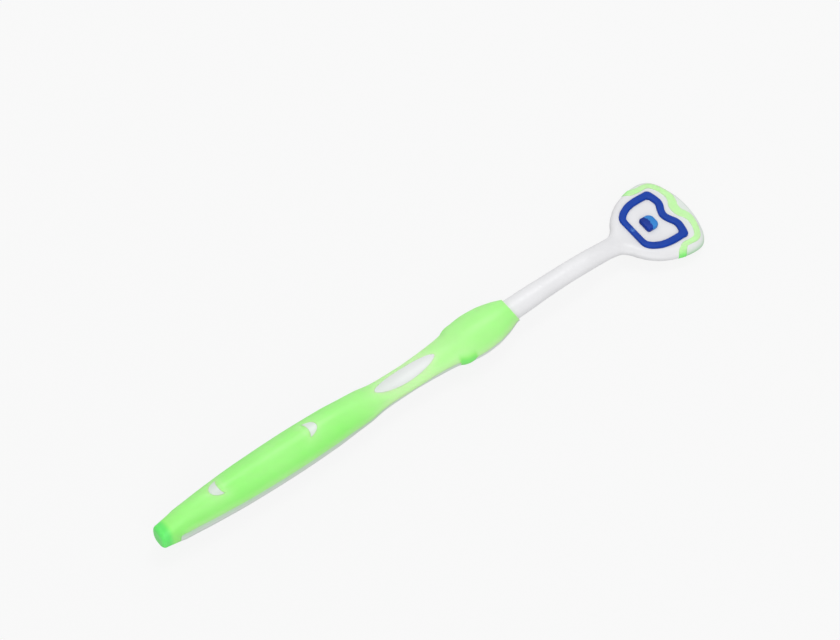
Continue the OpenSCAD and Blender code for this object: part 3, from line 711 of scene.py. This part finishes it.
def rangeOf(nodes, links, source, low, high, fromLow=0.3, fromHigh=0.7):
    # low + (high - low) * (source - fromLow) / (fromHigh - fromLow), held between the ends
    node = nodes.new("ShaderNodeMapRange")
    for key, value in (("From Min", fromLow), ("From Max", fromHigh), ("To Min", low), ("To Max", high)):
        node.inputs[key].default_value = value
    links.new(source, node.inputs["Value"])
    return node.outputs["Result"]


def mixColour(nodes, links, factor, first, second):
    # first * (1 - factor) + second * factor, each a value or a socket
    mix = nodes.new("ShaderNodeMix")
    mix.data_type = "RGBA"
    for socket, value in ((mix.inputs[0], factor), (mix.inputs[6], first), (mix.inputs[7], second)):
        if isinstance(value, (tuple, float)):
            socket.default_value = (*value, 1) if isinstance(value, tuple) else value
        else:
            links.new(value, socket)
    return mix.outputs[2]


def addBump(nodes, links, shader, source, distance, strength):
    # shading as if the surface stood up by source * distance
    bump = nodes.new("ShaderNodeBump")
    bump.inputs["Strength"].default_value = strength
    bump.inputs["Distance"].default_value = distance
    links.new(source, bump.inputs["Height"])
    links.new(bump.outputs["Normal"], shader.inputs["Normal"])


# What the soft shots share. Noise scales are per metre, roughness is a range, bump is a strength.
soft = {
    "cloud": 45, "cloudSwing": 0.05, "blueCloud": 250, "grain": 1800, "bump": 0.3, "ior": 1.46,
    "glow": 0.5, "glowRadius": (0.5, 1.0, 0.4), "glowScale": 0.002, "blueSpecular": 0.2,
}
bumpDepth = 0.02 * mm


def addGrain(nodes, links, shader, scale, rough, bump):
    # fine noise that drives the roughness and a shallow bump
    fine = noiseOn(nodes, links, scale, 2)
    links.new(rangeOf(nodes, links, fine.outputs[0], *rough), shader.inputs["Roughness"])
    addBump(nodes, links, shader, fine.outputs[0], bumpDepth, bump)


def toneOf(nodes):
    # the piece's own "tone" value at each point
    tone = nodes.new("ShaderNodeAttribute")
    tone.attribute_name = "tone"
    return tone.outputs["Fac"]


def whiteMaterial():
    # hard white: a faint cloud, then painted green light and shade, a darker grey-green, where "tone" says
    # so
    material, nodes, links, shader = newMaterial("whitePlastic")
    cloud = noiseOn(nodes, links, core["cloud"], 4)
    share = rangeOf(nodes, links, cloud.outputs[0], 0, 1)
    plain = mixColour(nodes, links, share, core["shade"], core["colour"])
    colour = mixColour(nodes, links, toneOf(nodes), plain, core["paintedGreenShade"])
    links.new(colour, shader.inputs["Base Color"])
    addGrain(nodes, links, shader, core["grain"], core["rough"], core["bump"])
    shader.inputs["IOR"].default_value = core["ior"]
    return material


def softMaterial(name, look, firstKey, secondKey, thirdKey=None):
    # soft green: colour follows "tone" and a faint cloud, from the first key through to the last
    material, nodes, links, shader = newMaterial(name)
    cloud = noiseOn(nodes, links, soft["cloud"])
    swing = soft["cloudSwing"]
    shift = nodes.new("ShaderNodeMath")
    shift.operation = "ADD"
    links.new(toneOf(nodes), shift.inputs[0])
    links.new(rangeOf(nodes, links, cloud.outputs[0], -swing, swing), shift.inputs[1])
    ramp = nodes.new("ShaderNodeValToRGB")
    ramp.color_ramp.elements[0].color = (*look[firstKey], 1)
    ramp.color_ramp.elements[1].color = (*look[thirdKey or secondKey], 1)
    if thirdKey:
        middle = ramp.color_ramp.elements.new(0.5)
        middle.color = (*look[secondKey], 1)
    links.new(shift.outputs[0], ramp.inputs["Fac"])
    links.new(ramp.outputs["Color"], shader.inputs["Base Color"])
    addGrain(nodes, links, shader, soft["grain"], look["rough"], soft["bump"])
    shader.inputs["IOR"].default_value = soft["ior"]
    shader.inputs["Subsurface Weight"].default_value = soft["glow"]
    shader.inputs["Subsurface Radius"].default_value = soft["glowRadius"]
    shader.inputs["Subsurface Scale"].default_value = soft["glowScale"]
    return material


def gateHighlightOn(nodes, links, plain):
    # painted highlight on the gate's vestige: share of the spot's colour falls with the distance from its
    # middle, in metres, times grain
    gateHighlight = ring["gateHighlight"]
    middle = onHead(np.array([[gateHighlight["u"], gateHighlight["v"], head["thick"] / 2 + ring["height"]]]))[0]
    where = nodes.new("ShaderNodeTexCoord")
    spot = nodes.new("ShaderNodeVectorMath")
    spot.operation = "DISTANCE"
    links.new(where.outputs["Object"], spot.inputs[0])
    spot.inputs[1].default_value = tuple(middle * mm)
    size, full = gateHighlight["size"] * mm, gateHighlight["size"] * gateHighlight["full"] * mm
    edge = rangeOf(nodes, links, spot.outputs["Value"], gateHighlight["strength"], 0, full, size)
    grain = noiseOn(nodes, links, gateHighlight["grain"], 2)
    broken = nodes.new("ShaderNodeMath")
    broken.operation = "MULTIPLY"
    links.new(edge, broken.inputs[0])
    links.new(rangeOf(nodes, links, grain.outputs[0], *gateHighlight["broken"]), broken.inputs[1])
    return mixColour(nodes, links, broken.outputs[0], plain, gateHighlight["colour"])


def blueMaterial(name, colour, dark, rough, withGateHighlight=False):
    # soft blue: a faint cloud between two near colours
    material, nodes, links, shader = newMaterial(name)
    cloud = noiseOn(nodes, links, soft["blueCloud"])
    result = mixColour(nodes, links, rangeOf(nodes, links, cloud.outputs[0], 0, 1), dark, colour)
    if withGateHighlight:
        result = gateHighlightOn(nodes, links, result)
    links.new(result, shader.inputs["Base Color"])
    addGrain(nodes, links, shader, soft["grain"], rough, soft["bump"])
    shader.inputs["IOR"].default_value = soft["ior"]
    shader.inputs["Specular IOR Level"].default_value = soft["blueSpecular"]
    return material


# The grip. Places are millimetres from the flat end, heights are over the seam.
grip = {
    "columns": 150, "spacing": 0.3, "lip": 0.06, "sink": 0.05,
    "deep": linear(88, 229, 106), "body": linear(146, 242, 116), "thin": linear(192, 244, 166),
    "rough": (0.36, 0.46),
    # its tone: how much each adds, then where; what the bulge adds is a painted highlight
    "base": 0.56, "waist": 0.33, "bulge": 0.1, "rim": 0.2, "rear": 0.04, "fringe": 0.24,
    "waistAt": 91, "waistReach": 17, "bulgeRun": (100, 110), "rimReach": 1.3, "rearRun": (26, 8),
    # the side values below paint shade towards the sides, which leaves a painted highlight along the top
    "side": 0.14, "sideShadeWaist": 0.2, "sideShadeBulge": 0.1, "sideShadeRun": (0.4, 0.95),
    "fringeRun": (3.2, 0.2), "fringeWaist": 0.6, "fringeStart": 3,
    "capRun": (2.0, 4.1), "capLeast": 0.2,
    "strapRun": (3.4, 0.2), "strapSides": (0.45, 0.75), "strapLeast": 0.3,
}

sheet = handleSheet(grip["columns"], grip["spacing"], grip["sink"])
gripShell = cutShell(sheet, greenKeep, handle["gripWall"], grip["lip"], pole=True)


def gripTone(p):
    # 0 deep, where no white is under it, to 1 thin: a sum of bell curves and smooth steps, palest round the
    # windows, along the seam, at the waist and on the bulge, where the paleness is a painted highlight;
    # deeper towards the sides as painted shade
    x, y, z = p.T
    g, along, above = grip, x - endX, z - seamZ(x)
    waist = np.exp(-((along - g["waistAt"]) / g["waistReach"]) ** 2)
    # painted highlight on the bulge
    bulge = smoothStep(*g["bulgeRun"], along)
    rim = np.exp(-np.maximum(windowDistance(p), 0) / g["rimReach"])
    rear = smoothStep(*g["rearRun"], along)
    fringe = smoothStep(*g["fringeRun"], above) * (1 - g["fringeWaist"] * waist)
    fringe = fringe * smoothStep(0, g["fringeStart"], along - handle["capLength"])
    # painted shade: the tone drops towards the sides, so the top shows a painted highlight
    drop = g["side"] - g["sideShadeWaist"] * waist - g["sideShadeBulge"] * bulge
    side = 1 - drop * smoothStep(*g["sideShadeRun"], np.abs(y) / np.maximum(handleAt(1, x), 1))
    strapMiddle = handle["strapStart"] + handle["strapWidth"] / 2
    beside = smoothStep(*g["strapSides"], np.abs(along - strapMiddle) / handle["strapWidth"])
    strap = 1 - (1 - beside) * smoothStep(*g["strapRun"], above)
    cap = smoothStep(*g["capRun"], along)
    tone = g["base"] + g["waist"] * waist + g["bulge"] * bulge + g["rim"] * rim + g["rear"] * rear
    tone = (tone + g["fringe"] * fringe) * side
    tone = tone * (g["capLeast"] + (1 - g["capLeast"]) * cap)
    return np.clip(tone * (g["strapLeast"] + (1 - g["strapLeast"]) * strap), 0, 1)


makePiece("gripShell", [gripShell], softMaterial("softGreen", grip, "deep", "body", "thin"),
          "handle_grip", {"tone": gripTone})

# The hard white: strips and windows on the handle, then the core, neck and head in one loft.
core = {
    "columns": 134, "spacing": 0.34, "lip": 0.04,
    "moreSink": 0.01, "moreWall": 0.2,  # over the grip's
    # stations: sparse inside the grip, closer on the neck, closest on the head
    "start": 0.55, "hiddenStep": 4.5, "hiddenEnd": 3, "neckStart": 2.5, "neckStep": 0.5, "neckEnd": 1,
    "headStart": 0.9, "headLines": 100, "tipLines": 22, "half": 84,
    # the last colour is painted green light and shade, a darker grey-green, laid where the white meets the
    # soft green
    "colour": linear(223, 223, 225), "shade": linear(217, 217, 219), "paintedGreenShade": linear(146, 208, 146),
    "rough": (0.34, 0.46), "cloud": 60, "grain": 1400, "bump": 0.25, "ior": 1.49,
    # its painted green light and shade: how much each adds, then where
    "strip": 0.2, "stripSeam": 0.4, "seamRun": (-2.4, 0), "stripEdge": (0.5, -0.3),
    "waistAt": 94, "waistReach": 16, "waist": 0.4, "bulge": 0.4, "bulgeRun": (105, 112),
    "rimRun": (2.1, -1.0), "rimStart": (0.5, 3.5), "tip": 0.14, "tipRun": (7, 12),
    "window": 0.22, "windowWaist": 0.7, "windowHeight": 0.5, "windowEnd": 2, "stripEnd": 0.5,
}

whiteSheet = handleSheet(core["columns"], core["spacing"], grip["sink"] + core["moreSink"])
whiteAreas = cutShell(whiteSheet, whiteKeep, handle["gripWall"] + core["moreWall"], core["lip"], pole=True)
neckX, tipX = headX - reach, headX + head["tipStart"] * reach
coreX = np.concatenate([
    np.arange(endX + handle["capLength"] + core["start"], cutX - core["hiddenEnd"], core["hiddenStep"]),
    np.arange(cutX - core["neckStart"], neckX - core["neckEnd"], core["neckStep"]),
    np.linspace(neckX - core["headStart"], tipX, core["headLines"]),
])
coreRings = [hardRings(coreX, 0.0, core["half"]), tipRings(core["tipLines"], 0.0, core["half"])]
coreShell = closedLoft(np.concatenate(coreRings))


def coreGreenShade(p):
    # share of painted green light and shade in the white: the largest of what is painted in under the seam,
    # in the windows and round the tip's lower rim, each a product of smooth steps
    x, _, z = p.T
    g, along, above = core, x - endX, z - seamZ(x)
    waist = np.exp(-((along - g["waistAt"]) / g["waistReach"]) ** 2)
    strip = g["strip"] + g["stripSeam"] * smoothStep(*g["seamRun"], above)
    strip = strip * (1 - g["waist"] * waist - g["bulge"] * smoothStep(*g["bulgeRun"], along))
    strip = strip * smoothStep(*g["stripEdge"], above) * (x < cutX + g["stripEnd"])
    u, _ = headPlan(p)
    rim = smoothStep(*g["rimRun"], heightOnHead(p)) * smoothStep(*g["rimStart"], u)
    rim = np.maximum(rim, g["tip"] * smoothStep(*g["tipRun"], u)) * (x > headX)
    window = g["window"] * (1 - g["windowWaist"] * waist)
    window = window * (above > g["windowHeight"]) * (x < cutX - g["windowEnd"])
    return np.maximum(np.maximum(strip, rim), window)


makePiece("handleCore", [coreShell, whiteAreas], whiteMaterial(), "core", {"tone": coreGreenShade})

bandX = np.linspace(headX + band["rearEnd"] * reach, tipX, band["lines"])
bandRings = [hardRings(bandX, band["proud"], band["half"]),
             tipRings(band["tipLines"], band["proud"], band["half"])]
bandShell = cutShell(np.concatenate(bandRings), bandKeep, band["wall"], band["lip"])


def bandRimShade(p):
    # painted shade: least tone on the rim, rising by a smooth step to 1 on the face
    least = band["rimShadeLeast"]
    return least + (1 - least) * smoothStep(*band["rimShadeRun"], heightOnHead(p))


makePiece("headBand", [bandShell], softMaterial("thinGreen", band, "deep", "body"),
          "head_band", {"tone": bandRimShade})

navySoft = blueMaterial("navySoft", ring["colour"], ring["dark"], ring["rough"], withGateHighlight=True)
navyNub = blueMaterial("navyNub", nub["navy"], nub["navyDark"], nub["rough"])
skyNub = blueMaterial("skyNub", nub["sky"], nub["skyDark"], nub["rough"])
rearShell, frontShell = nubShells()
makePiece("scraperRing", [ringShell()], navySoft, "scraper_ring")
makePiece("nubRear", [rearShell], navyNub, "nub_rear")
makePiece("nubFront", [frontShell], skyNub, "nub_front")

# The floor and the sky: "sky" lights the object, "skySeen" is what the camera sees.
ground = {
    "half": 4, "albedo": (0.6, 0.6, 0.6), "paper": linear(252, 252, 252), "paperShare": 0.9,
    "sky": 0.64, "skySeen": 0.97,
}
k = ground["half"]
floorMesh = bpy.data.meshes.new("floor")
floorMesh.from_pydata([(-k, -k, 0), (k, -k, 0), (k, k, 0), (-k, k, 0)], [], [(0, 1, 2, 3)])
floor = bpy.data.objects.new("floor", floorMesh)
bpy.context.scene.collection.objects.link(floor)
floorMaterial, nodes, links, shader = newMaterial("paleFloor")
shader.inputs["Base Color"].default_value = (*ground["albedo"], 1)
shader.inputs["Roughness"].default_value = 1.0
shader.inputs["Specular IOR Level"].default_value = 0.0
# the camera sees mostly the paper's own white, with a share of the shaded floor for the shadow
seen = nodes.new("ShaderNodeLightPath")
paper = addNode(nodes, "ShaderNodeEmission", Color=(*ground["paper"], 1), Strength=1.0)
share = nodes.new("ShaderNodeMath")
share.operation = "MULTIPLY"
links.new(seen.outputs["Is Camera Ray"], share.inputs[0])
share.inputs[1].default_value = ground["paperShare"]
blend = nodes.new("ShaderNodeMixShader")
links.new(share.outputs[0], blend.inputs[0])
links.new(shader.outputs[0], blend.inputs[1])
links.new(paper.outputs[0], blend.inputs[2])
links.new(blend.outputs[0], nodes["Material Output"].inputs["Surface"])
floorMesh.materials.append(floorMaterial)

# the camera sees the sky nearly as white as the paper
world = bpy.data.worlds.new("studio")
world.use_nodes = True
nodes, links = world.node_tree.nodes, world.node_tree.links
seen = nodes.new("ShaderNodeLightPath")
level = rangeOf(nodes, links, seen.outputs["Is Camera Ray"], ground["sky"], ground["skySeen"], 0, 1)
nodes["Background"].inputs["Color"].default_value = (1, 1, 1, 1)
links.new(level, nodes["Background"].inputs["Strength"])
bpy.context.scene.world = world

print("floor and sky set")

# The camera of the photograph: angles in degrees, focal length and image width in pixels.
view = {
    "elevation": 57.371, "turn": 37.178, "focal": 3285.6, "imageWidth": 840, "sensor": 36,
    "distance": 1000.0, "right": -3.306, "up": 16.817,
}
lift, turn = np.radians(view["elevation"]), np.radians(view["turn"])
rightWay = np.array([np.cos(turn), -np.sin(turn), 0])
farWay = np.array([np.sin(turn), np.cos(turn), 0])
backWay = -farWay * np.cos(lift) + np.array([0, 0, np.sin(lift)])
upWay = farWay * np.sin(lift) + np.array([0, 0, np.cos(lift)])
place = (view["right"] * rightWay + view["up"] * upWay + view["distance"] * backWay) * mm


def aim(obj, origin, back, up):
    # columns of the matrix: to the side, up, and back towards the viewer
    side = np.cross(up, back)
    side /= np.linalg.norm(side)
    axes = np.stack([side, np.cross(back, side), back], 1)
    rows = [[*map(float, row), float(o)] for row, o in zip(axes, origin)]
    obj.matrix_world = Matrix(rows + [[0, 0, 0, 1]])


cameraData = bpy.data.cameras.new("camera")
cameraData.sensor_width = view["sensor"]
cameraData.lens = view["focal"] / view["imageWidth"] * view["sensor"]
cameraData.clip_start = 0.01
camera = bpy.data.objects.new("camera", cameraData)
bpy.context.scene.collection.objects.link(camera)
aim(camera, place, backWay, upWay)
bpy.context.scene.camera = camera

# "towards" is to the right, away and up as the camera sees it
lamps = {
    "rear": {"towards": (-0.2, 0.9, 0.45), "size": 1.2, "distance": 1.5, "level": 0.13},
    "key": {"towards": (0.13, 0.37, 0.92), "size": 0.42, "distance": 1.3, "level": 0.3},
    "fill": {"towards": (0.1, -0.85, 0.5), "size": 1.4, "distance": 1.5, "level": 0.48},
}
for name, lamp in lamps.items():
    # level is what a white surface facing the lamp would show: power = level pi^2 d^2
    light = bpy.data.lights.new(name, "AREA")
    light.shape = "SQUARE"
    light.size = lamp["size"]
    light.energy = lamp["level"] * np.pi ** 2 * lamp["distance"] ** 2
    right, far, up = lamp["towards"]
    towards = rightWay * right + farWay * far + np.array([0, 0, up])
    towards /= np.linalg.norm(towards)
    obj = bpy.data.objects.new(name, light)
    bpy.context.scene.collection.objects.link(obj)
    aim(obj, towards * lamp["distance"], towards, upWay)

bpy.context.scene.view_settings.view_transform = "Standard"
print("lights and camera set")
